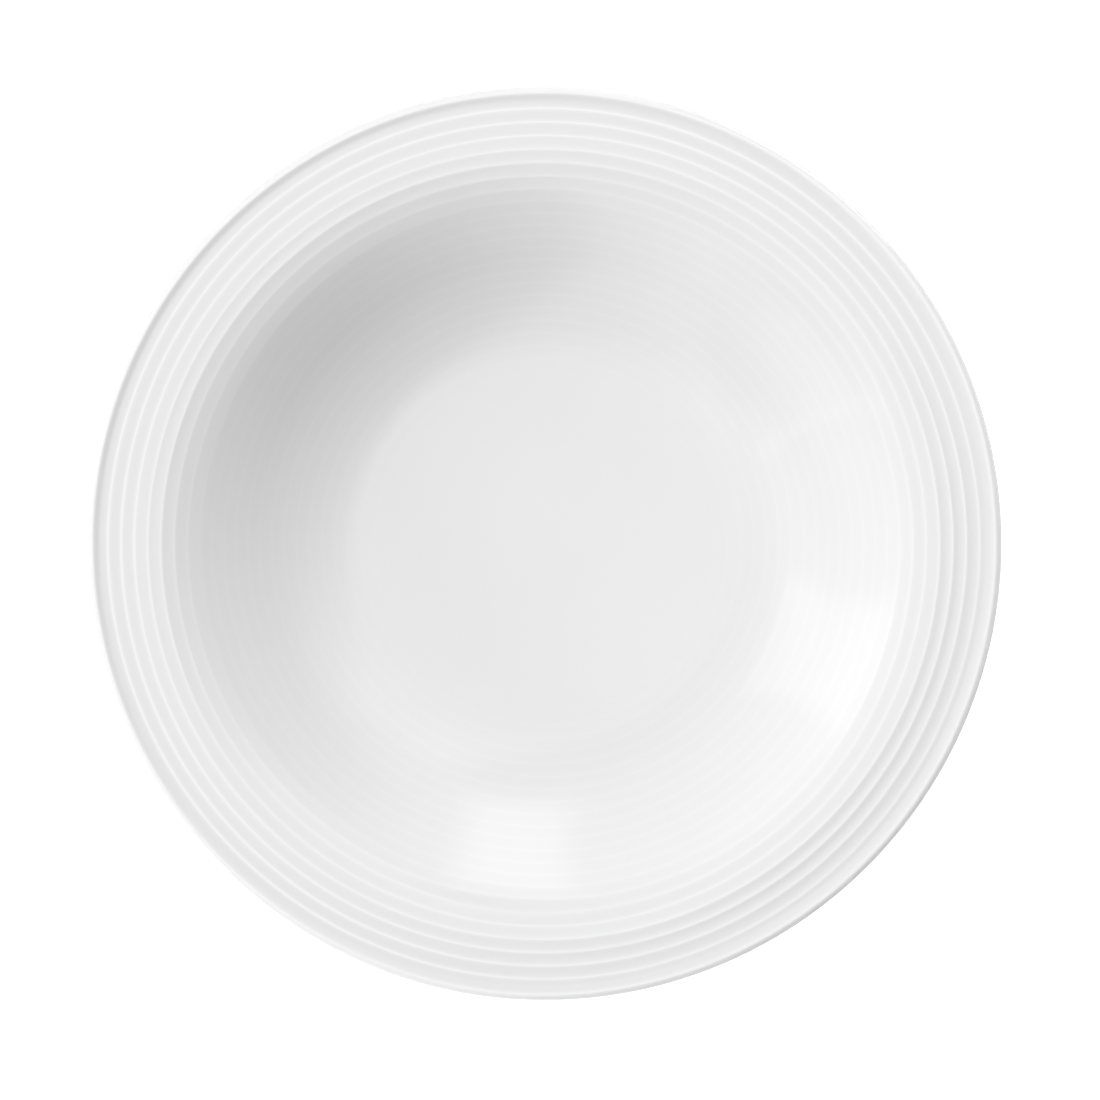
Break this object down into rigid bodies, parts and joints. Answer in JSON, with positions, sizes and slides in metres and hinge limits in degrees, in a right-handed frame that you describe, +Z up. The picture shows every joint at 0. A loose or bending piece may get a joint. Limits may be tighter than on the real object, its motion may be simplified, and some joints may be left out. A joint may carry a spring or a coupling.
{
  "type": "soup plate",
  "caption": "Round white glazed porcelain soup plate with a shallow dished well, a level rim with a rounded lip, fine concentric flutes and a bare foot ring to stand on.",
  "frame": {"origin": "on the plate's axis, in the plane of the foot ring's tread", "axes": "+Z up along the plate's axis, out of the well; X and Y are any two directions across the round plate"},
  "size_m": [0.23, 0.23, 0.0301],
  "materials": {
    "porcelain": "bare fired porcelain, matte and faintly gritty",
    "glaze": "clear gloss glaze over white porcelain"
  },
  "bodies": {
    "root": {"porcelain_body": "porcelain", "glaze_coat": "glaze", "base_glaze": "glaze"}
  },
  "joints": []
}
